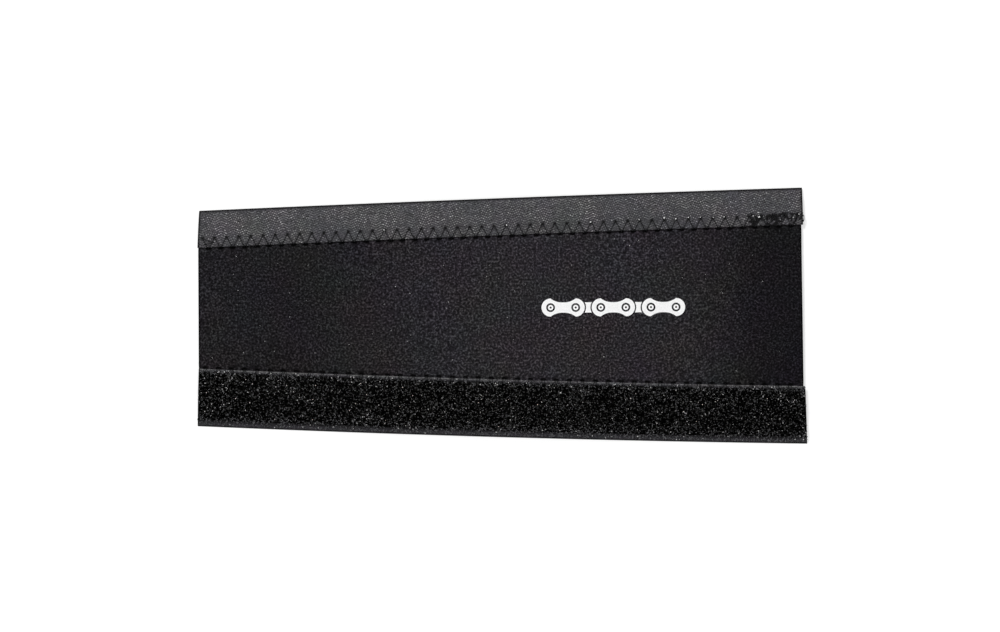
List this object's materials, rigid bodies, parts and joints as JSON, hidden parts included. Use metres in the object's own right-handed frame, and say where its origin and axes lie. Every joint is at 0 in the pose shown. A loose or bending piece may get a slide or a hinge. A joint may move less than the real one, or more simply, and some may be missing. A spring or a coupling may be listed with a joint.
{
  "type": "chainstay protector",
  "caption": "Tapered foam rubber wrap that guards a bicycle chainstay from the chain, with hook and loop tapes zigzag stitched to its long edges.",
  "frame": {"origin": "on the surface it lies on, under the middle of its bounding box", "axes": "+X along the sheet towards its wide end, +Y from the loop tape to the hook tape, +Z out of the outer face, up"},
  "size_m": [0.2626, 0.1104, 0.0044],
  "materials": {
    "jersey_foam": "matte black knitted jersey bonded to foam rubber",
    "hook_weave": "dark grey woven nylon, slightly shiny",
    "loop_pile": "deep black napped loop pile",
    "thread": "black twisted sewing thread"
  },
  "bodies": {
    "root": {"neoprene_panel": "jersey_foam", "hook_tape": "hook_weave", "loop_tape": "loop_pile", "hook_seam_needle_thread": "thread", "hook_seam_bobbin_thread": "thread", "loop_seam_needle_thread": "thread", "loop_seam_bobbin_thread": "thread"}
  },
  "joints": []
}
